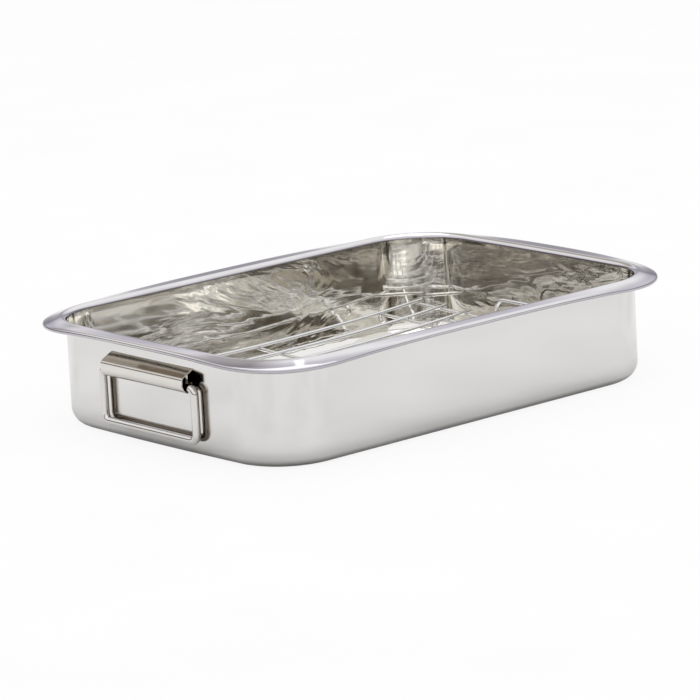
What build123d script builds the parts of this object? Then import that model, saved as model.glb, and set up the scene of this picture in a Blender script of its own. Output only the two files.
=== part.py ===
from build123d import *
import math
import os

# Roasting pan with a lift-out wire rack, in millimetres, +Z up.
# The origin is in the middle of the pan's underside. X runs along the pan,
# Y across it. A drop handle hangs on each short end: left is -X, right is +X.

# Pan, drawn from one sheet
opening_length = 340.0      # inside the end walls, on the centre line
opening_width = 240.0       # inside the long walls
pan_height = 72.0
pan_sheet = 0.7
wall_corner_radius = 46.0   # outer face of the wall, seen from above
base_radius = 11.0          # outer radius between wall and base
end_bulge = 2.9             # how far an end wall bows out in its middle

# Rim, turned out from the top of the wall and rolled under at its edge
rim_width = 13.6            # from the wall's outer face to the rolled edge
rim_bend_radius = 3.15      # middle of the sheet, at the top of the wall
rim_roll_radius = 1.25      # middle of the sheet, round the rolled edge
rim_return = 1.6            # flat tail of the roll, under the rim
rim_collar = 4.0            # upright part of the wall that is made with the rim
rim_corner_extra = 2.0      # the rim is wider at the middle of a corner
rim_corner_droop = 5.5      # sets how far the edge hangs down at the corners
rim_droop_power = 2.67
rim_slope = 1.0             # degrees, all round
rim_section_shares = (0, 0.33, 0.67, 1)   # places of the sections, along each stretch
rim_bend_chords = 4
rim_roll_chords = 3
seam_tolerance = 0.02       # closes the seam between wall and collar

# Handle brackets, folded from sheet and spot welded to the end walls
bracket_sheet = 0.8
bracket_width = 83.0
bracket_notch = 6.5         # the back plate stops this far short of each end of the bracket
hook_inner_radius = 4.9     # the roll that the handle hangs in
hook_reach = 3.7            # from the wall to the middle of the roll
hook_height = 49.2          # middle of the roll above the table
hook_front = 3.05           # upright front face above the roll
hook_wrap = 105.0           # degrees that the roll turns through below it
bracket_slope = 29.0        # degrees, top face of the bracket
bracket_brow_radius = 2.2   # middle of the sheet, between top and front face
bracket_fold_radius = 0.5
bracket_tail = 4.4          # back plate below the middle of the roll
bracket_fold_chords = 2
bracket_brow_chords = 4
hook_chords = 8

# Drop handles, bent from round wire
handle_wire = 5.5
handle_length = 99.4        # over the wire
handle_drop = 34.2          # pivot bar to lower bar, between middles
handle_bend_radius = 4.6
handle_play = 0.3           # round the pivot bar, to the plate and to the roll below it
handle_butt_gap = 0.6       # between the wire's ends, inside the bracket
handle_wire_sides = 12
handle_bend_chords = 4

# Rack, welded from wire: long wires on top of cross wires
long_wire = 2.4
long_wire_count = 9
rack_end_clearance = 21.0   # from an end wall to the tips of the long wires
rack_side_clearance = 20.0  # from a long wall to the outermost long wire
rack_height = 20.0          # middle of the centre long wire, half way along
rack_end_rise = 5.0         # the rack curves up to its ends by this much
rack_side_rise = 1.6        # and up to its outermost wires by this much
cross_wire = 2.4
cross_wire_inset = 36.0     # outer cross wires, from the tips of the long wires
cross_wire_tip = 1.5        # beyond the outermost long wire
eye_radius = 2.5            # middle of the wire, in the curled ends
eye_turn = 250.0            # degrees
weld_sink = 0.3             # how deep one wire is welded into another
end_wire_inset = 3.5
leg_wire = 3.0
leg_wire_inset = 20.0
leg_bar_overhang = 4.0      # past the wires that it carries
leg_bend_radius = 6.0
leg_angle = 40.0            # degrees below level
leg_toe = 6.0               # flat end of a leg, along the pan's floor
leg_wires_carried = 5
foot_clearance = 0.3        # between rack and pan, where the rack stands
loop_wire = 3.0
loop_height = 37.5          # middle of a lift loop's top bar above the table
loop_bend_radius = 9.0
loop_clearance = 0.5        # beside the long wires next to it
loop_tail = 1.0             # loop wire below the middle of the end wire
rack_wire_sides = 8
rack_bend_chords = 3
rack_bow_chords = 4
eye_chords = 8

# Worked out from the sizes above
half_length = opening_length / 2 + pan_sheet
half_width = opening_width / 2 + pan_sheet
rim_top_bend = rim_bend_radius + pan_sheet / 2
collar_base = pan_height - rim_top_bend - rim_collar
pivot_x = half_length + bracket_sheet + handle_play + handle_wire / 2
pivot_z = hook_height - hook_inner_radius + handle_play + handle_wire / 2
rack_half_length = opening_length / 2 - rack_end_clearance
rack_half_width = opening_width / 2 - rack_side_clearance
long_wire_pitch = 2 * rack_half_width / (long_wire_count - 1)


# Drawing helpers

def walk(start, heading, steps):
    # Walks along a line of runs (length, 0, 1) and bends (radius, turn, chords).
    # A turn is in degrees and positive to the left. Returns the corners of the
    # line, each with the heading that the bend or run has there.
    place = Vector(*start)
    stops = [(place, heading)]
    for size, turn, chords in steps:
        ahead = Vector(1, 0).rotate(Axis.Z, heading)
        if turn:
            centre = place + ahead.rotate(Axis.Z, 90) * math.copysign(size, turn)
            for number in range(1, chords + 1):
                angle = turn * number / chords
                stops.append((centre + (place - centre).rotate(Axis.Z, angle), heading + angle))
        else:
            stops.append((place + ahead * size, heading))
        place, heading = stops[-1]
    return stops


def beside(stops, distance):
    # The walked line's corners, moved to its left by a distance.
    return [place + Vector(0, distance).rotate(Axis.Z, heading) for place, heading in stops]


def sheet_section(stops, thickness):
    # A sheet of even thickness, cut through square, along the walked line.
    left = beside(stops, thickness / 2)
    right = beside(stops, -thickness / 2)
    return make_face(Polyline(*left, *reversed(right), close=True))


def bent_wire(points, diameter, sides):
    # Wire through points of one plane, mitred at its corners.
    places = [Vector(*point) for point in points]
    runs = [(after - before).normalized() for before, after in zip(places, places[1:])]
    square = (places[1] - places[0]).cross(places[2] - places[1]).normalized()
    rings = []
    for place, before, after in zip(places, runs[:1] + runs, runs + runs[-1:]):
        mitre = Plane(origin=place, x_dir=square, z_dir=before + after)
        stretch = 1 / mitre.z_dir.dot(after)
        spots = [Vector(diameter / 2).rotate(Axis.Z, 360 * number / sides) for number in range(sides)]
        ring = Polyline(*[(spot.X, spot.Y * stretch) for spot in spots], close=True)
        rings.append(mitre * make_face(ring))
    return loft(rings, ruled=True)


def bow_radius(half_span, rise):
    return (half_span ** 2 + rise ** 2) / (2 * rise)


def save(shape, name):
    export_step(shape, "parts/" + name + ".step")


# Pan

def pan_outline(inset):
    # The wall seen from above: straight long sides, bowed ends, round corners.
    length = half_length - inset
    width = half_width - inset
    end_radius = bow_radius(half_width, end_bulge) - inset
    corner = length - end_radius + math.sqrt(end_radius ** 2 - width ** 2)
    sides = [Line((-corner, y), (corner, y)) for y in (-width, width)]
    ends = [ThreePointArc((side * corner, -width), (side * length, 0), (side * corner, width))
            for side in (-1, 1)]
    blank = make_face(sides + ends)
    return fillet(blank.vertices(), wall_corner_radius - inset)


def pan_tub():
    # Base and wall, up to the collar.
    outside = extrude(pan_outline(0), collar_base)
    outside = fillet(outside.faces().sort_by(Axis.Z)[0].edges(), base_radius)
    inside = Pos(0, 0, pan_sheet) * extrude(pan_outline(pan_sheet), collar_base)
    inside = fillet(inside.faces().sort_by(Axis.Z)[0].edges(), base_radius - pan_sheet)
    return outside - inside


def rim_section(place, along):
    # The rim cut through square to the wall, at one place of the wall's outline.
    outward = Vector(along.Y, -along.X)
    if outward.dot(place) < 0:
        outward = -outward
    corner_share = abs(place.X) / half_length * abs(place.Y) / half_width
    droop = rim_corner_droop * corner_share ** rim_droop_power
    swell = abs(2 * outward.X * outward.Y) ** 2
    flat = rim_width - rim_bend_radius - rim_roll_radius + rim_corner_extra * swell
    slope = rim_slope + math.degrees(math.asin(droop / flat))
    steps = [
        (rim_collar, 0, 1),
        (rim_bend_radius, -90 - slope, rim_bend_chords),
        (flat, 0, 1),
        (rim_roll_radius, -180, rim_roll_chords),
        (rim_return, 0, 1),
    ]
    stops = walk((-pan_sheet / 2, collar_base), 90, steps)
    square = Plane(origin=place, x_dir=outward, z_dir=outward.cross(Vector(0, 0, 1)))
    return square * sheet_section(stops, pan_sheet)


def pan_rim():
    # A quarter of the rim, swept through sections that change on the way round
    # the corner, then mirrored to all four.
    quarter_box = Pos(half_length, half_width) * Box(2 * half_length, 2 * half_width, pan_height)
    corner = None
    for edge in pan_outline(0).faces()[0].outer_wire().edges():
        for kept in edge.intersect(quarter_box) or []:
            sections = [rim_section(kept @ share, kept % share) for share in rim_section_shares]
            piece = sweep(sections=sections, path=Wire([kept]), multisection=True)
            corner = piece if corner is None else corner + piece
    half = corner + corner.mirror(Plane.YZ)
    return half + half.mirror(Plane.XZ)


def pan_body():
    tub = pan_tub().solids()[0]
    rim = pan_rim().solids()[0]
    return tub.fuse(rim, tol=seam_tolerance)


# Handle brackets and drop handles, made for the right end and mirrored

def in_cross_plane(x, stops):
    # Corners walked in (Y, Z), set upright across the pan at x.
    return [(x, place.X, place.Y) for place, heading in stops]


def handle_bracket():
    # Back plate on the wall, top face sloping out and down, front face, then a
    # roll that turns in under the handle's pivot bar. Drawn with X away from the
    # wall. The plate is notched at both ends, so that only the hook goes full width.
    middle = bracket_sheet / 2
    roll = hook_inner_radius + middle
    slope = math.radians(bracket_slope)
    brow_x = hook_reach + roll - bracket_brow_radius * (1 - math.sin(slope))
    brow_z = hook_height + hook_front + bracket_brow_radius * math.cos(slope)
    top_length = (brow_x - middle) / math.cos(slope)
    top_corner_z = brow_z + (brow_x - middle) * math.tan(slope)
    fold_turn = 90 + bracket_slope
    fold_setback = bracket_fold_radius * math.tan(math.radians(fold_turn / 2))
    tail_z = hook_height - bracket_tail
    fold_z = top_corner_z - fold_setback
    steps = [
        (fold_z - tail_z, 0, 1),
        (bracket_fold_radius, -fold_turn, bracket_fold_chords),
        (top_length - fold_setback, 0, 1),
        (bracket_brow_radius, bracket_slope - 90, bracket_brow_chords),
        (hook_front, 0, 1),
        (roll, -hook_wrap, hook_chords),
    ]
    profile = sheet_section(walk((middle, tail_z), 90, steps), bracket_sheet)
    plate_height = fold_z - tail_z
    backing = Pos(middle - end_bulge / 2, tail_z + plate_height / 2) * Rectangle(end_bulge, plate_height)
    on_wall = Plane(origin=(half_length, bracket_width / 2, 0), x_dir=(1, 0, 0), z_dir=(0, -1, 0))
    bracket = extrude(on_wall * (profile + backing), bracket_width)
    notch_x = half_length + bracket_sheet / 2 - end_bulge / 2
    for side in (-1, 1):
        notch_place = Pos(notch_x, side * (bracket_width - bracket_notch) / 2, tail_z + plate_height / 2)
        bracket -= notch_place * Box(bracket_sheet + end_bulge, bracket_notch, plate_height)
    return bracket - extrude(pan_outline(0), pan_height)


def drop_handle():
    # One closed loop of wire. Its ends butt in the middle of the pivot bar.
    half_bar = (handle_length - handle_wire) / 2 - handle_bend_radius
    side_bar = handle_drop - 2 * handle_bend_radius
    bend = (handle_bend_radius, -90, handle_bend_chords)
    gap = handle_butt_gap / 2
    steps = [(half_bar - gap, 0, 1), bend, (side_bar, 0, 1), bend, (2 * half_bar, 0, 1),
             bend, (side_bar, 0, 1), bend, (half_bar - gap, 0, 1)]
    stops = walk((gap, pivot_z), 0, steps)
    return bent_wire(in_cross_plane(pivot_x, stops), handle_wire, handle_wire_sides)


# Rack. Cross wires are bowed to the sides, long wires to the ends, and every
# wire lies on the ones that it crosses.

def bow_rise(place, half_span, rise):
    radius = bow_radius(half_span, rise)
    return radius - math.sqrt(radius ** 2 - place ** 2)


side_bow = bow_radius(rack_half_width, rack_side_rise)


def rack_level(x, y):
    # Middle of the long wires over a place of the pan's floor.
    return (rack_height + bow_rise(x, rack_half_length, rack_end_rise)
            + bow_rise(y, rack_half_width, rack_side_rise))


def level_under(x, wire):
    # Middle, on the centre line, of a wire welded under the long wires.
    return rack_level(x, 0) - (long_wire + wire) / 2 + weld_sink


def rack_long_wire(y):
    places = [rack_half_length * share / rack_bow_chords
              for share in range(-rack_bow_chords, rack_bow_chords + 1)]
    points = [(x, y, rack_level(x, y)) for x in places]
    return bent_wire(points, long_wire, rack_wire_sides)


def wire_across(x, level, steps, diameter):
    # A wire across the rack at x, the same on both sides of the middle.
    right = in_cross_plane(x, walk((0, level), 0, steps))
    left = [(x, -y, z) for x, y, z in right[:0:-1]]
    return bent_wire(left + right, diameter, rack_wire_sides)


def bow_step(half_span):
    return (side_bow, math.degrees(math.asin(half_span / side_bow)), rack_bow_chords)


def rack_cross_wire(x):
    # Bowed, with each end curled down and back into an eye.
    steps = [bow_step(rack_half_width + cross_wire_tip), (eye_radius, -eye_turn, eye_chords)]
    return wire_across(x, level_under(x, cross_wire), steps, cross_wire)


def rack_plain_wire(x):
    steps = [bow_step(rack_half_width + cross_wire_tip)]
    return wire_across(x, level_under(x, cross_wire), steps, cross_wire)


def rack_leg_wire(x):
    # Runs under the middle wires, then down and out to a toe at each side.
    carried = (leg_wires_carried - 1) / 2 * long_wire_pitch + leg_bar_overhang
    bow = bow_step(carried)
    level = level_under(x, leg_wire)
    knee = (leg_bend_radius, -bow[1] - leg_angle, rack_bend_chords)
    after_knee = walk((0, level), 0, [bow, knee])[-1][0]
    slope = math.radians(leg_angle)
    ankle_drop = leg_bend_radius * (1 - math.cos(slope))
    foot_level = pan_sheet + foot_clearance + leg_wire / 2
    shin = (after_knee.Y - foot_level - ankle_drop) / math.sin(slope)
    ankle = (leg_bend_radius, leg_angle, rack_bend_chords)
    return wire_across(x, level, [bow, knee, (shin, 0, 1), ankle, (leg_toe, 0, 1)], leg_wire)


def rack_lift_loop(x):
    # Stands on the outer side of an end wire, between two long wires.
    side = math.copysign((cross_wire + loop_wire) / 2 - weld_sink, x)
    reach = long_wire_pitch - (long_wire + loop_wire) / 2 - loop_clearance
    post = loop_height - loop_bend_radius - level_under(x, cross_wire) + loop_tail
    corner = (loop_bend_radius, -90, rack_bend_chords)
    steps = [(reach - loop_bend_radius, 0, 1), corner, (post, 0, 1)]
    return wire_across(x + side, loop_height, steps, loop_wire)


# The pieces, one file each

os.makedirs("parts", exist_ok=True)
save(pan_body(), "pan_body")

for name, right_piece in (("handle_bracket", handle_bracket()), ("drop_handle", drop_handle())):
    save(right_piece, name + "_right")
    save(right_piece.mirror(Plane.YZ), name + "_left")

for number in range(long_wire_count):
    wire_y = (number - (long_wire_count - 1) / 2) * long_wire_pitch
    save(rack_long_wire(wire_y), "rack_long_wire_" + str(number + 1))

save(rack_plain_wire(0), "rack_cross_wire_middle")
for side_name, sign in (("left", -1), ("right", 1)):
    end_wire_x = sign * (rack_half_length - end_wire_inset)
    save(rack_cross_wire(sign * (rack_half_length - cross_wire_inset)), "rack_cross_wire_" + side_name)
    save(rack_leg_wire(sign * (rack_half_length - leg_wire_inset)), "rack_leg_wire_" + side_name)
    save(rack_plain_wire(end_wire_x), "rack_end_wire_" + side_name)
    save(rack_lift_loop(end_wire_x), "rack_lift_loop_" + side_name)
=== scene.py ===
import math
import bpy
from mathutils import Matrix, Vector


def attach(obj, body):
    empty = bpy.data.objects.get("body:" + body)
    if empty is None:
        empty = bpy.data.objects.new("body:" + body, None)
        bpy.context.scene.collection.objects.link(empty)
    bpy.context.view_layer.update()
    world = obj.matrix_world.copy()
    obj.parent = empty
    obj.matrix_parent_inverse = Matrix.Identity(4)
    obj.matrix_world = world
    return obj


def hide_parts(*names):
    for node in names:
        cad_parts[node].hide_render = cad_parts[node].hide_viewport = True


# Roasting pan with a lift-out rack, in metres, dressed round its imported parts.

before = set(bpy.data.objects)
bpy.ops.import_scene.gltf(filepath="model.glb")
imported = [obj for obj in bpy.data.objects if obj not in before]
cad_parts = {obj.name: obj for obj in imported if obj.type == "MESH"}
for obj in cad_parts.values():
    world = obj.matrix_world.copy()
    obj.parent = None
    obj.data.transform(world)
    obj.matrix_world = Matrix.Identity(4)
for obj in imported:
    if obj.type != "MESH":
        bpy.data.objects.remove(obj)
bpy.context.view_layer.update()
print("frame loaded:", len(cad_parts), "nodes")


# Shader writing

class Signal:
    # A number that changes over a surface. Sums and products of it add their nodes.
    def __init__(self, board, socket):
        self.board = board
        self.socket = socket

    def maths(self, operation, first, second):
        node = self.board.add("ShaderNodeMath", {"operation": operation}, {0: first, 1: second})
        return Signal(self.board, node.outputs[0])

    def __add__(self, other):
        return self.maths("ADD", self, other)

    def __sub__(self, other):
        return self.maths("SUBTRACT", self, other)

    def __rsub__(self, other):
        return self.maths("SUBTRACT", other, self)

    def __mul__(self, other):
        return self.maths("MULTIPLY", self, other)

    def magnitude(self):
        return self.maths("ABSOLUTE", self, 0.0)

    __radd__ = __add__
    __rmul__ = __mul__


class Board:
    # One node tree, with the nodes added through a single method.
    def __init__(self, tree):
        self.tree = tree
        tree.nodes.clear()

    def add(self, kind, settings=None, inputs=None):
        node = self.tree.nodes.new(kind)
        for name, value in (settings or {}).items():
            if name == "stops":
                self.setStops(node.color_ramp, value)
            else:
                setattr(node, name, value)
        for name, value in (inputs or {}).items():
            if isinstance(value, Signal):
                value = value.socket
            if isinstance(value, bpy.types.NodeSocket):
                self.tree.links.new(value, node.inputs[name])
            else:
                node.inputs[name].default_value = value
        return node

    def setStops(self, ramp, stops):
        while len(ramp.elements) < len(stops):
            ramp.elements.new(1)
        for element, (place, colour) in zip(ramp.elements, stops):
            element.position = place
            element.color = (*colour, 1)

    def number(self, node, output=0):
        return Signal(self, node.outputs[output])

    def noise(self, place, scale, detail=2.0, distortion=0.0):
        node = self.add("ShaderNodeTexNoise", None, {
            "Vector": place, "Scale": scale, "Detail": detail, "Distortion": distortion})
        return self.number(node)

    def stretched(self, place, scale):
        node = self.add("ShaderNodeVectorMath", {"operation": "MULTIPLY"}, {0: place, 1: scale})
        return node.outputs[0]

    def between(self, low, high, fromLow, fromHigh, value):
        node = self.add("ShaderNodeMapRange", {"clamp": True}, {
            "Value": value, "From Min": fromLow, "From Max": fromHigh, "To Min": low, "To Max": high})
        return self.number(node)

    def blend(self, share, first, second):
        node = self.add("ShaderNodeMix", {"data_type": "RGBA"}, {
            "Factor": share, "A": first, "B": second})
        return node.outputs[2]

    def ramp(self, value, stops):
        return self.add("ShaderNodeValToRGB", {"stops": stops}, {0: value}).outputs[0]

    def axes(self, place):
        node = self.add("ShaderNodeSeparateXYZ", None, {0: place})
        return {axis: self.number(node, axis) for axis in "XYZ"}


def newMaterial(name):
    material = bpy.data.materials.new(name)
    material.use_nodes = True
    return material, Board(material.node_tree)


steel = {
    "paintedRagged": 0.0008,     # how far the edge of each painted light and shade band wanders, in metres
    "paintedFull": 0.9,
    "calm": 0.2,               # share of the waves that is left where the sheet is stiff
}


def metalMaterial(name, look):
    # Bright steel: a tint that drifts a little, bands of painted light and shade, patchy polish, and a
    # sheet that isn't quite flat.
    material, board = newMaterial(name)
    place = board.add("ShaderNodeTexCoord").outputs["Object"]
    cloud = board.noise(place, look["cloudScale"], 3.0)
    grain = board.noise(board.stretched(place, look["grainStretch"]), look["grainScale"], 4.0)
    tint = board.blend(cloud * 0.7 + grain * 0.3, (*look["tintDark"], 1), (*look["tintLight"], 1))
    axes = board.axes(place)
    for axis, clear, full, colour in look["paintedLightAndShade"]:
        # painted light and shade: another tint, from where it is clear to where it is full along an axis
        ragged = axes[axis].magnitude() + cloud * steel["paintedRagged"]
        tint = board.blend(board.between(0.0, steel["paintedFull"], clear, full, ragged), tint, (*colour, 1))
    wave = board.noise(board.stretched(place, look["waveStretch"]), look["waveScale"],
                       look["waveDetail"], look["waveTwist"])
    if "stiff" in look:
        # the drawn corners are stiff and stay smooth
        corner = axes["X"] * axes["Y"] * (1 / look["stiff"])
        wave = wave * board.between(1.0, steel["calm"], *look["stiffFrom"], corner.magnitude())
        # and the left of the sheet is calmer than the right
        wave = wave * board.between(steel["calm"], 1.0, *look["calmTo"], axes["X"])
    roll = board.add("ShaderNodeBump", None, {
        "Height": wave, "Distance": look["waveHeight"], "Strength": 1.0})
    scratch = board.add("ShaderNodeBump", None, {
        "Height": grain, "Distance": look["grainHeight"], "Strength": 1.0, "Normal": roll.outputs[0]})
    surface = board.add("ShaderNodeBsdfPrincipled", None, {
        "Base Color": tint,
        "Metallic": 1.0,
        "Roughness": board.between(look["smooth"], look["dull"], 0.3, 0.7, cloud * 0.5 + grain * 0.5),
        "Normal": scratch.outputs[0]})
    board.add("ShaderNodeOutputMaterial", None, {"Surface": surface.outputs[0]})
    return material


# Walking along bent sheet and wire

def walk(start, heading, steps):
    # Steps are runs (length, 0, 1) and bends (radius, turn in degrees, chords), left is positive.
    x, z = start
    stops = [(x, z, heading)]
    for size, turn, chords in steps:
        for number in range(chords):
            if turn:
                chord = 2 * size * math.sin(math.radians(abs(turn) / chords / 2))
                ahead = heading + turn / chords / 2
                heading = heading + turn / chords
            else:
                chord = size
                ahead = heading
            x += chord * math.cos(math.radians(ahead))
            z += chord * math.sin(math.radians(ahead))
            stops.append((x, z, heading))
    return stops


def beside(stops, distance):
    moved = []
    for x, z, heading in stops:
        angle = math.radians(heading + 90)
        moved.append((x + distance * math.cos(angle), z + distance * math.sin(angle)))
    return moved


sharpAngle = math.radians(40)


def addMesh(name, points, faces, materials, body, kinds=None):
    mesh = bpy.data.meshes.new(name)
    mesh.from_pydata(points, [], faces)
    mesh.shade_smooth()
    mesh.set_sharp_from_angle(angle=sharpAngle)
    for material in materials:
        mesh.materials.append(material)
    if kinds:
        mesh.polygons.foreach_set("material_index", kinds)
    piece = bpy.data.objects.new(name, mesh)
    bpy.context.scene.collection.objects.link(piece)
    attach(piece, body)
    return piece


def addWire(name, points, diameter, material, body):
    curve = bpy.data.curves.new(name, "CURVE")
    curve.dimensions = "3D"
    curve.bevel_depth = diameter / 2
    curve.bevel_resolution = 6
    curve.use_fill_caps = True
    spline = curve.splines.new("POLY")
    spline.points.add(len(points) - 1)
    for point, place in zip(spline.points, points):
        point.co = (*place, 1)
    spline.use_smooth = True
    curve.materials.append(material)
    piece = bpy.data.objects.new(name, curve)
    bpy.context.scene.collection.objects.link(piece)
    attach(piece, body)
    return piece


# Pan body, drawn from one sheet

pan = {
    "halfLength": 0.1707,      # outer face of the end wall, on the centre line
    "halfWidth": 0.1207,
    "height": 0.072,
    "sheet": 0.0007,
    "cornerRadius": 0.046,
    "baseRadius": 0.011,
    "endBulge": 0.0029,
    "rimWidth": 0.0134,
    "rimBend": 0.00315,
    "rimRoll": 0.00125,
    "rimReturn": 0.0016,
    "rimExtra": 0.0022,
    "rimDroop": 0.0055,
    "droopPower": 2.67,
    "rimSlope": 1.0,
    "rimExtraPower": 2,
    "endStations": 20,         # in a quarter of the outline
    "cornerStations": 40,
    "sideStations": 24,
    "rings": (0.3, 0.55, 0.75, 0.9),   # shares of the way out across the flat base
    "baseSteps": 8,            # along the section, from the base to the tail of the roll
    "upSteps": 12,
    "rimBendSteps": 8,
    "rimSteps": 5,
    "rollSteps": 10,
    "wallSteps": 24,           # steps of each face that come before the rim
    "outside": {
        "tintDark": (0.72, 0.715, 0.70), "tintLight": (0.79, 0.785, 0.77),
        # painted shade round the foot of the wall, for the floor's contact shadow seen in the steel, and
        # the plain steel colour again under the base
        "paintedLightAndShade": [("Z", 0.0065, 0.0022, (0.36, 0.355, 0.345)),
                   ("Z", 0.0018, 0.0008, (0.76, 0.755, 0.74))],
        "smooth": 0.07, "dull": 0.15,
        "cloudScale": 14.0,
        "grainScale": 40.0, "grainStretch": (1.0, 1.0, 5.0), "grainHeight": 0.000003,
        "waveScale": 16.0, "waveStretch": (1.0, 1.0, 0.5),
        "waveTwist": 0.5, "waveDetail": 1.0, "waveHeight": 0.0004,
    },
    "rim": {
        "tintDark": (0.74, 0.73, 0.73), "tintLight": (0.82, 0.81, 0.81),
        # painted shade: greyer towards the rolled edge, where the underside of the lip lies in shadow
        "paintedLightAndShade": [("Z", 0.0714, 0.0700, (0.50, 0.48, 0.53))],
        "smooth": 0.03, "dull": 0.08,
        "cloudScale": 30.0,
        "grainScale": 60.0, "grainStretch": (1.0, 1.0, 1.0), "grainHeight": 0.000001,
        "waveScale": 30.0, "waveStretch": (1.0, 1.0, 1.0),
        "waveTwist": 0.3, "waveDetail": 1.0, "waveHeight": 0.00005,
    },
    "inside": {
        "tintDark": (0.73, 0.705, 0.65), "tintLight": (0.86, 0.845, 0.80),
        # painted shade on the end walls, browner, and painted light on the floor, paler
        "paintedLightAndShade": [("X", 0.1680, 0.1697, (0.50, 0.47, 0.42)),
                   ("Z", 0.014, 0.003, (0.88, 0.87, 0.84))],
        "smooth": 0.03, "dull": 0.10,
        "cloudScale": 16.0,
        "grainScale": 60.0, "grainStretch": (0.3, 0.3, 1.5), "grainHeight": 0.000012,
        "waveScale": 13.0, "waveStretch": (0.8, 0.8, 1.9), "waveTwist": 1.8, "waveDetail": 2.7,
        "waveHeight": 0.0010, "stiff": 0.0204, "stiffFrom": (0.45, 0.75), "calmTo": (-0.12, 0.05),
    },
}


def quarterStations(size):
    # Stations on the wall's outer face in the first quarter: place and outward direction.
    half, width, corner = size["halfLength"], size["halfWidth"], size["cornerRadius"]
    endRadius = (width ** 2 + size["endBulge"] ** 2) / (2 * size["endBulge"])
    endCentre = half - endRadius
    cornerY = width - corner
    cornerX = endCentre + math.sqrt((endRadius - corner) ** 2 - cornerY ** 2)
    meeting = math.atan2(cornerY, cornerX - endCentre)
    stations = []
    arcs = ((endCentre, 0, endRadius, 0, meeting, size["endStations"]),
            (cornerX, cornerY, corner, meeting, math.pi / 2, size["cornerStations"]))
    for centreX, centreY, radius, first, last, count in arcs:
        for number in range(count):
            angle = first + (last - first) * number / count
            stations.append((centreX + radius * math.cos(angle), centreY + radius * math.sin(angle),
                             math.cos(angle), math.sin(angle)))
    count = size["sideStations"]
    for number in range(count + 1):
        stations.append((cornerX * (1 - number / count), width, 0.0, 1.0))
    return stations


def panStations(size):
    quarter = quarterStations(size)
    half = quarter + [(-x, y, -nx, ny) for x, y, nx, ny in reversed(quarter[:-1])]
    return half + [(x, -y, nx, -ny) for x, y, nx, ny in reversed(half[1:-1])]


def panSection(size, x, y, nx, ny):
    # Middle of the sheet, walked from the edge of the flat base up and round the rim.
    share = abs(x) / size["halfLength"] * abs(y) / size["halfWidth"]
    droop = size["rimDroop"] * share ** size["droopPower"]
    extra = size["rimExtra"] * (2 * nx * ny) ** size["rimExtraPower"]
    flat = size["rimWidth"] - size["rimBend"] - size["rimRoll"] + extra
    slope = size["rimSlope"] + math.degrees(math.asin(droop / flat))
    middle = size["sheet"] / 2
    baseBend = size["baseRadius"] - middle
    wallRun = size["height"] - middle - size["rimBend"] - size["baseRadius"]
    steps = [(baseBend, 90, size["baseSteps"])]
    steps += [(wallRun / size["upSteps"], 0, 1)] * size["upSteps"]
    steps += [(size["rimBend"], -90 - slope, size["rimBendSteps"])]
    steps += [(flat / size["rimSteps"], 0, 1)] * size["rimSteps"]
    steps += [(size["rimRoll"], -180, size["rollSteps"]), (size["rimReturn"], 0, 1)]
    return walk((-size["baseRadius"], middle), 0, steps)


def addPan(size, materials):
    stations = panStations(size)
    points = []
    rows = []
    for x, y, nx, ny in stations:
        stops = panSection(size, x, y, nx, ny)
        edgeX, edgeY = x - size["baseRadius"] * nx, y - size["baseRadius"] * ny
        row = []
        for side in (-1, 1):
            level = size["sheet"] if side > 0 else 0.0
            line = [(edgeX * ring, edgeY * ring, level) for ring in size["rings"]]
            for out, up in beside(stops, side * size["sheet"] / 2):
                line.append((x + out * nx, y + out * ny, up))
            row.append(line)
        # outside from the middle to the edge, then the inside back again
        whole = row[0] + row[1][::-1]
        rows.append([len(points) + number for number in range(len(whole))])
        points += whole
    faces = []
    kinds = []
    count = len(rows)
    last = len(rows[0]) - 1
    for number in range(count):
        here, there = rows[number], rows[(number + 1) % count]
        for step in range(last):
            faces.append((here[step], there[step], there[step + 1], here[step + 1]))
            # outside, rim or inside
            beforeRim = step < size["wallSteps"]
            afterRim = step >= last - size["wallSteps"]
            kinds.append(0 if beforeRim else 2 if afterRim else 1)
    under, upper = len(points), len(points) + 1
    points += [(0, 0, 0), (0, 0, size["sheet"])]
    for number in range(count):
        here, there = rows[number], rows[(number + 1) % count]
        faces.append((there[0], here[0], under))
        faces.append((here[-1], there[-1], upper))
        kinds += [0, 2]
    piece = addMesh("pan_shell", points, faces, materials, "pan", kinds)
    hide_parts("pan_body")


addPan(pan, [metalMaterial("panOutside", pan["outside"]), metalMaterial("panRim", pan["rim"]),
             metalMaterial("panInside", pan["inside"])])
print("pan body made")


# Handle brackets

sides = {"left": -1, "right": 1}

bracket = {
    "sheet": 0.0008,
    "width": 0.083,
    "notch": 0.0065,           # the back plate stops this far short of each end
    "hookRadius": 0.0049,      # inside the roll
    "hookReach": 0.0037,
    "hookHeight": 0.0492,
    "front": 0.00305,
    "wrap": 105.0,
    "slope": 29.0,
    "browRadius": 0.0022,
    "foldRadius": 0.0005,
    "tail": 0.0044,
    "topSteps": 6,             # along the section
    "browSteps": 12,
    "rollSteps": 24,
    "plateSteps": 4,
    "acrossSteps": 24,
    "look": {
        "tintDark": (0.70, 0.675, 0.63), "tintLight": (0.80, 0.785, 0.75),
        # painted reflection: browner on the sloping top
        "paintedLightAndShade": [("Z", 0.0538, 0.0546, (0.47, 0.41, 0.33))],
        "smooth": 0.08, "dull": 0.18,
        "cloudScale": 60.0,
        "grainScale": 90.0, "grainStretch": (1.0, 0.3, 1.0), "grainHeight": 0.000001,
        "waveScale": 30.0, "waveStretch": (1.0, 0.3, 1.0),
        "waveTwist": 0.2, "waveDetail": 1.0, "waveHeight": 0.00004,
    },
}


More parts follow.
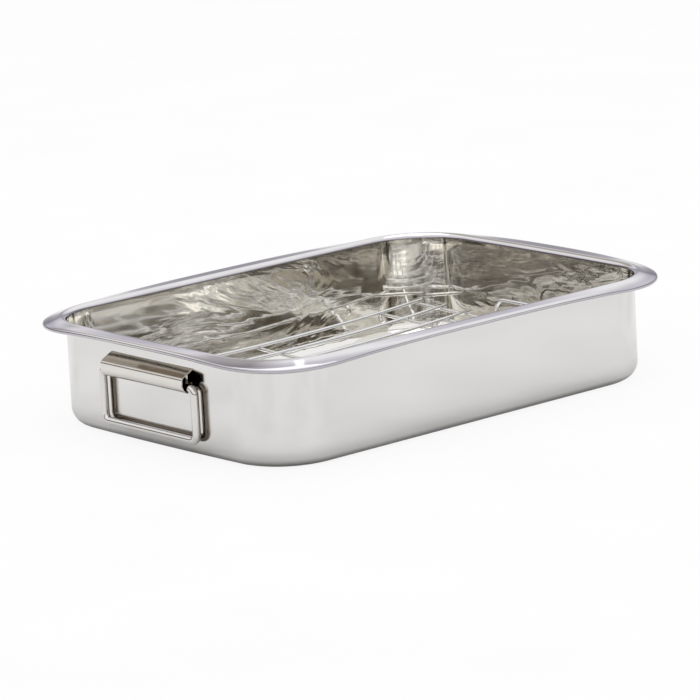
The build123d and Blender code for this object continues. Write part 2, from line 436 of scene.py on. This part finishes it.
def bracketSections(size):
    # Middle of the sheet: the hook from the wall to its lip, and the back plate.
    middle = size["sheet"] / 2
    roll = size["hookRadius"] + middle
    lean = math.radians(size["slope"])
    browX = size["hookReach"] + roll - size["browRadius"] * (1 - math.sin(lean))
    browZ = size["hookHeight"] + size["front"] + size["browRadius"] * math.cos(lean)
    steps = [(browX / math.cos(lean) / size["topSteps"], 0, 1)] * size["topSteps"]
    steps += [(size["browRadius"], size["slope"] - 90, size["browSteps"]), (size["front"], 0, 1),
              (roll, -size["wrap"], size["rollSteps"])]
    hook = walk((0, browZ + browX * math.tan(lean)), -size["slope"], steps)
    tail = size["hookHeight"] - size["tail"]
    top = browZ + (browX - middle) * math.tan(lean)
    plate = walk((middle, tail), 90, [((top - tail) / size["plateSteps"], 0, 1)] * size["plateSteps"])
    return hook, plate


def wallBow(y):
    # How far the end wall lies inside its middle, at a distance across.
    return pan["endBulge"] * (y / pan["halfWidth"]) ** 2


def addFolded(name, label, stops, half, material):
    # A sheet along the stops, as wide as twice the half, that follows the bowed wall.
    outer = beside(stops, bracket["sheet"] / 2)
    inner = beside(stops, -bracket["sheet"] / 2)
    loop = outer + inner[::-1]
    side = sides[label]
    count = bracket["acrossSteps"]
    points = []
    for number in range(count + 1):
        y = half * (2 * number / count - 1)
        for out, up in loop:
            held = max(0.0, 1 - max(0.0, out - bracket["sheet"]) / bracket["hookReach"])
            points.append((side * (pan["halfLength"] + max(out, 0) - held * wallBow(y)), y, up))
    size = len(loop)
    faces = []
    for number in range(count):
        for step in range(size):
            after = (step + 1) % size
            face = (number * size + step, number * size + after,
                    (number + 1) * size + after, (number + 1) * size + step)
            faces.append(face if side > 0 else face[::-1])
    last = len(outer) - 1
    for first, flip in ((0, False), (count * size, True)):
        for step in range(last):
            face = (first + step, first + size - 1 - step, first + size - 2 - step, first + step + 1)
            faces.append(face if flip != (side > 0) else face[::-1])
    piece = addMesh(name + label, points, faces, [material], "pan")
    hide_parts("handle_bracket_" + label)


bracketSteel = metalMaterial("bracketSteel", bracket["look"])
hookStops, plateStops = bracketSections(bracket)
halfBracket = bracket["width"] / 2
for label in sides:
    addFolded("bracket_hook_", label, hookStops, halfBracket, bracketSteel)
    addFolded("bracket_plate_", label, plateStops, halfBracket - bracket["notch"], bracketSteel)
print("brackets made")


# Drop handles

handle = {
    "wire": 0.0055,
    "length": 0.0994,
    "drop": 0.0342,
    "bend": 0.0046,
    "play": 0.0003,
    "buttGap": 0.0006,
    "bendSteps": 12,
    "look": {
        "tintDark": (0.68, 0.66, 0.63), "tintLight": (0.80, 0.79, 0.77),
        # painted shade: dark on the side that faces the pan, in the narrow gap by the wall
        "paintedLightAndShade": [("X", 0.1758, 0.1744, (0.19, 0.15, 0.115))],
        "smooth": 0.05, "dull": 0.13,
        "cloudScale": 80.0,
        "grainScale": 120.0, "grainStretch": (1.0, 0.1, 1.0), "grainHeight": 0.000006,
        "waveScale": 50.0, "waveStretch": (1.0, 1.0, 1.0),
        "waveTwist": 0.0, "waveDetail": 1.0, "waveHeight": 0.00006,
    },
}


def addHandle(label, material):
    halfBar = (handle["length"] - handle["wire"]) / 2 - handle["bend"]
    sideBar = handle["drop"] - 2 * handle["bend"]
    gap = handle["buttGap"] / 2
    bend = (handle["bend"], -90, handle["bendSteps"])
    steps = [(halfBar - gap, 0, 1), bend, (sideBar, 0, 1), bend, (2 * halfBar, 0, 1), bend,
             (sideBar, 0, 1), bend, (halfBar - gap, 0, 1)]
    pivotX = sides[label] * (pan["halfLength"] + bracket["sheet"] + handle["play"] + handle["wire"] / 2)
    pivotZ = bracket["hookHeight"] - bracket["hookRadius"] + handle["play"] + handle["wire"] / 2
    stops = walk((gap, pivotZ), 0, steps)
    points = [(pivotX, y, z) for y, z, heading in stops]
    piece = addWire("handle_ring_" + label, points, handle["wire"], material,
                    "handle_" + label)
    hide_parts("drop_handle_" + label)


handleSteel = metalMaterial("handleSteel", handle["look"])
for label in sides:
    addHandle(label, handleSteel)
print("handles made")


# Rack

rack = {
    "longWire": 0.0024,
    "longCount": 9,
    "pitch": 0.025,
    "length": 0.298,
    "height": 0.020,
    "endRise": 0.005,
    "sideRise": 0.0016,
    "crossWire": 0.0024,
    "crossPlace": 0.113,
    "crossTip": 0.0015,
    "eyeRadius": 0.0025,
    "eyeTurn": 250.0,
    "weldSink": 0.0003,
    "endPlace": 0.1455,
    "legWire": 0.003,
    "legPlace": 0.129,
    "legOverhang": 0.004,
    "legBend": 0.006,
    "legAngle": 40.0,
    "legToe": 0.006,
    "legCarried": 5,
    "footClearance": 0.0003,
    "loopWire": 0.003,
    "loopHeight": 0.0375,
    "loopBend": 0.009,
    "loopClearance": 0.0005,
    "loopTail": 0.001,
    "longSteps": 16,           # in half a long wire
    "bowSteps": 16,
    "eyeSteps": 28,
    "legBendSteps": 10,
    "loopBendSteps": 12,
    "look": {
        "tintDark": (0.70, 0.70, 0.70), "tintLight": (0.82, 0.82, 0.83),
        "paintedLightAndShade": [],
        "smooth": 0.07, "dull": 0.17,
        "cloudScale": 90.0,
        "grainScale": 200.0, "grainStretch": (1.0, 1.0, 1.0), "grainHeight": 0.000004,
        "waveScale": 60.0, "waveStretch": (1.0, 1.0, 1.0),
        "waveTwist": 0.0, "waveDetail": 1.0, "waveHeight": 0.00003,
    },
}
rackHalfLength = rack["length"] / 2
rackHalfWidth = (rack["longCount"] - 1) / 2 * rack["pitch"]


def bowRadius(span, rise):
    return (span ** 2 + rise ** 2) / (2 * rise)


def bowRise(place, span, rise):
    radius = bowRadius(span, rise)
    return radius - math.sqrt(radius ** 2 - place ** 2)


sideBow = bowRadius(rackHalfWidth, rack["sideRise"])


def rackLevel(x, y):
    return (rack["height"] + bowRise(x, rackHalfLength, rack["endRise"])
            + bowRise(y, rackHalfWidth, rack["sideRise"]))


def levelUnder(x, wire):
    return rackLevel(x, 0) - (rack["longWire"] + wire) / 2 + rack["weldSink"]


def bowStep(span):
    return (sideBow, math.degrees(math.asin(span / sideBow)), rack["bowSteps"])


def addRackWire(name, points, diameter, material, node):
    piece = addWire(name, points, diameter, material, "rack")
    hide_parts(node)


def acrossPoints(x, level, steps):
    right = [(x, y, z) for y, z, heading in walk((0, level), 0, steps)]
    return [(x, -y, z) for x, y, z in right[:0:-1]] + right


def legSteps(x):
    carried = (rack["legCarried"] - 1) / 2 * rack["pitch"] + rack["legOverhang"]
    bow = bowStep(carried)
    knee = (rack["legBend"], -bow[1] - rack["legAngle"], rack["legBendSteps"])
    level = levelUnder(x, rack["legWire"])
    kneeEnd = walk((0, level), 0, [bow, knee])[-1][1]
    slope = math.radians(rack["legAngle"])
    ankleDrop = rack["legBend"] * (1 - math.cos(slope))
    foot = pan["sheet"] + rack["footClearance"] + rack["legWire"] / 2
    shin = (kneeEnd - foot - ankleDrop) / math.sin(slope)
    ankle = (rack["legBend"], rack["legAngle"], rack["legBendSteps"])
    return [bow, knee, (shin, 0, 1), ankle, (rack["legToe"], 0, 1)]


def addRack(material):
    for number in range(rack["longCount"]):
        y = (number - (rack["longCount"] - 1) / 2) * rack["pitch"]
        places = [rackHalfLength * step / rack["longSteps"]
                  for step in range(-rack["longSteps"], rack["longSteps"] + 1)]
        points = [(x, y, rackLevel(x, y)) for x in places]
        addRackWire("long_wire_%d" % (number + 1), points, rack["longWire"], material,
                    "rack_long_wire_%d" % (number + 1))
    plain = [bowStep(rackHalfWidth + rack["crossTip"])]
    curled = plain + [(rack["eyeRadius"], -rack["eyeTurn"], rack["eyeSteps"])]
    level = levelUnder(0, rack["crossWire"])
    addRackWire("cross_wire_middle", acrossPoints(0, level, plain), rack["crossWire"], material,
                "rack_cross_wire_middle")
    loopSide = (rack["crossWire"] + rack["loopWire"]) / 2 - rack["weldSink"]
    loopReach = rack["pitch"] - (rack["longWire"] + rack["loopWire"]) / 2 - rack["loopClearance"]
    for label, side in sides.items():
        x = side * rack["crossPlace"]
        addRackWire("cross_wire_" + label, acrossPoints(x, levelUnder(x, rack["crossWire"]), curled),
                    rack["crossWire"], material, "rack_cross_wire_" + label)
        x = side * rack["legPlace"]
        addRackWire("leg_wire_" + label, acrossPoints(x, levelUnder(x, rack["legWire"]), legSteps(x)),
                    rack["legWire"], material, "rack_leg_wire_" + label)
        x = side * rack["endPlace"]
        level = levelUnder(x, rack["crossWire"])
        addRackWire("end_wire_" + label, acrossPoints(x, level, plain), rack["crossWire"], material,
                    "rack_end_wire_" + label)
        post = rack["loopHeight"] - rack["loopBend"] - level + rack["loopTail"]
        loop = [(loopReach - rack["loopBend"], 0, 1), (rack["loopBend"], -90, rack["loopBendSteps"]),
                (post, 0, 1)]
        addRackWire("lift_loop_" + label, acrossPoints(x + side * loopSide, rack["loopHeight"], loop),
                    rack["loopWire"], material, "rack_lift_loop_" + label)


rackChrome = metalMaterial("rackChrome", rack["look"])
addRack(rackChrome)
print("rack made")


# Studio: floor, soft light and camera

studio = {
    "floorRadius": 4.2,
    "floorDrop": 0.0001,           # keeps the floor clear of the pan's base
    "floorHole": (0.158, 0.108),   # open under the base, which lets light reach it from below
    "holeCorner": 0.25,            # power that squares the hole's outline
    "floorSteps": 64,
    "floorDark": (0.79, 0.79, 0.78),
    "floorLight": (0.87, 0.87, 0.87),
    "floorPatches": 9.0,
    "cameraWhite": 0.9,            # share of the floor's colour that is plain white to the camera
    "mirroredWhite": 0.05,         # and in reflections
    "facing": (0.65, 0.76),        # the photo's direction of view, over the floor
    "lampPlace": (0.1, 0.1, 1.7),
    "lampSize": 1.6,
    "lampPower": 8.0,
}


def addFloor():
    radius, hole, steps = studio["floorRadius"], studio["floorHole"], studio["floorSteps"]
    turns = [(math.cos(math.tau * n / steps), math.sin(math.tau * n / steps)) for n in range(steps)]
    squared = [[math.copysign(abs(part) ** studio["holeCorner"], part) for part in turn] for turn in turns]
    points = [(radius * x, radius * y, -studio["floorDrop"]) for x, y in turns]
    points += [(hole[0] * x, hole[1] * y, -studio["floorDrop"]) for x, y in squared]
    faces = [(n, (n + 1) % steps, (n + 1) % steps + steps, n + steps) for n in range(steps)]
    mesh = bpy.data.meshes.new("floor")
    mesh.from_pydata(points, [], faces)
    material, board = newMaterial("paleFloor")
    light = board.add("ShaderNodeLightPath")
    place = board.add("ShaderNodeTexCoord").outputs["Object"]
    patches = board.between(0, 1, 0.35, 0.65, board.noise(place, studio["floorPatches"]))
    tint = board.blend(patches, (*studio["floorDark"], 1), (*studio["floorLight"], 1))
    matte = board.add("ShaderNodeBsdfDiffuse", None, {"Color": tint})
    glow = board.add("ShaderNodeEmission", None, {"Color": (1, 1, 1, 1), "Strength": 1.0})
    seen = (board.number(light, "Is Camera Ray") * studio["cameraWhite"]
            + board.number(light, "Is Glossy Ray") * studio["mirroredWhite"])
    mixed = board.add("ShaderNodeMixShader", None, {0: seen, 1: matte.outputs[0], 2: glow.outputs[0]})
    board.add("ShaderNodeOutputMaterial", None, {"Surface": mixed.outputs[0]})
    mesh.materials.append(material)
    floor = bpy.data.objects.new("floor", mesh)
    bpy.context.scene.collection.objects.link(floor)


def setWorld():
    world = bpy.data.worlds.new("studio")
    bpy.context.scene.world = world
    world.use_nodes = True
    board = Board(world.node_tree)
    direction = board.add("ShaderNodeTexCoord").outputs["Generated"]
    axes = board.axes(direction)
    across, deep, up = axes["X"], axes["Y"], axes["Z"]
    facingX, facingY = studio["facing"]
    farSide = board.between(0, 1, -0.3, 0.3, across * facingX + deep * facingY)
    # what the steel mirrors: tones by height, on the viewer's side and behind the pan
    behind = board.ramp(up, [
        (0.0, (0.80, 0.80, 0.80)), (0.06, (0.50, 0.49, 0.52)), (0.205, (0.34, 0.325, 0.37)),
        (0.245, (0.62, 0.60, 0.67)), (0.32, (0.80, 0.78, 0.84)), (0.46, (0.98, 0.98, 1.0))])
    front = board.ramp(up, [
        (0.0, (0.85, 0.85, 0.84)), (0.04, (0.45, 0.42, 0.37)), (0.09, (0.26, 0.235, 0.195)),
        (0.15, (0.36, 0.33, 0.28)), (0.20, (0.85, 0.84, 0.81)), (0.26, (1.0, 1.0, 1.0))])
    sky = board.blend(farSide, front, behind)
    # a taupe curtain high behind the pan
    curtain = (board.between(0, 1, -0.12, 0.0, across) * board.between(1, 0, 0.50, 0.60, across)
               * board.between(0, 1, 0.32, 0.40, up) * board.between(0, 1, 0.50, 0.62, deep))
    curtainTint = board.ramp(across, [
        (0.0, (0.56, 0.52, 0.43)), (0.22, (0.52, 0.48, 0.40)), (0.32, (0.40, 0.38, 0.38)),
        (0.60, (0.55, 0.53, 0.56))])
    hung = board.blend(curtain, sky, curtainTint)
    # brown walls low on the left, and fainter on the right
    sideways = deep * facingX - across * facingY
    wall = (board.between(1, 0, 0.24, 0.30, up)
            * (board.between(0, 1, 0.50, 0.80, sideways) + board.between(0.55, 0, -0.85, -0.55, sideways)))
    room = board.blend(wall, hung, (0.15, 0.13, 0.10, 1))
    light = board.add("ShaderNodeLightPath")
    seen = board.blend(light.outputs["Is Camera Ray"], room, (1, 1, 1, 1))
    shown = board.add("ShaderNodeBackground", None, {"Color": seen, "Strength": 1.0})
    board.add("ShaderNodeOutputWorld", None, {"Surface": shown.outputs[0]})


def addLamp():
    lamp = bpy.data.lights.new("overhead", "AREA")
    lamp.shape = "SQUARE"
    lamp.size = studio["lampSize"]
    lamp.energy = studio["lampPower"]
    holder = bpy.data.objects.new("overhead", lamp)
    holder.location = studio["lampPlace"]
    bpy.context.scene.collection.objects.link(holder)


view = {
    "target": (0.066997, 0.084175, 0.008001),
    "azimuth": -40.303,
    "elevation": 12.954,
    "roll": -3.113,
    "distance": 2.9785,
    "lens": 222.30,
}


def addCamera():
    azimuth, elevation, roll = [math.radians(view[name]) for name in ("azimuth", "elevation", "roll")]
    back = Vector((math.sin(azimuth) * math.cos(elevation), -math.cos(azimuth) * math.cos(elevation),
                   math.sin(elevation)))
    right = (-back).cross(Vector((0, 0, 1))).normalized()
    above = back.cross(right)
    turnedRight = right * math.cos(roll) + above * math.sin(roll)
    turnedAbove = above * math.cos(roll) - right * math.sin(roll)
    data = bpy.data.cameras.new("camera")
    data.lens = view["lens"]
    camera = bpy.data.objects.new("camera", data)
    bpy.context.scene.collection.objects.link(camera)
    turn = Matrix((turnedRight, turnedAbove, back)).transposed().to_4x4()
    camera.matrix_world = Matrix.Translation(Vector(view["target"]) + back * view["distance"]) @ turn
    bpy.context.scene.camera = camera


addFloor()
setWorld()
addLamp()
addCamera()
bpy.context.scene.view_settings.view_transform = "Standard"
print("studio set")
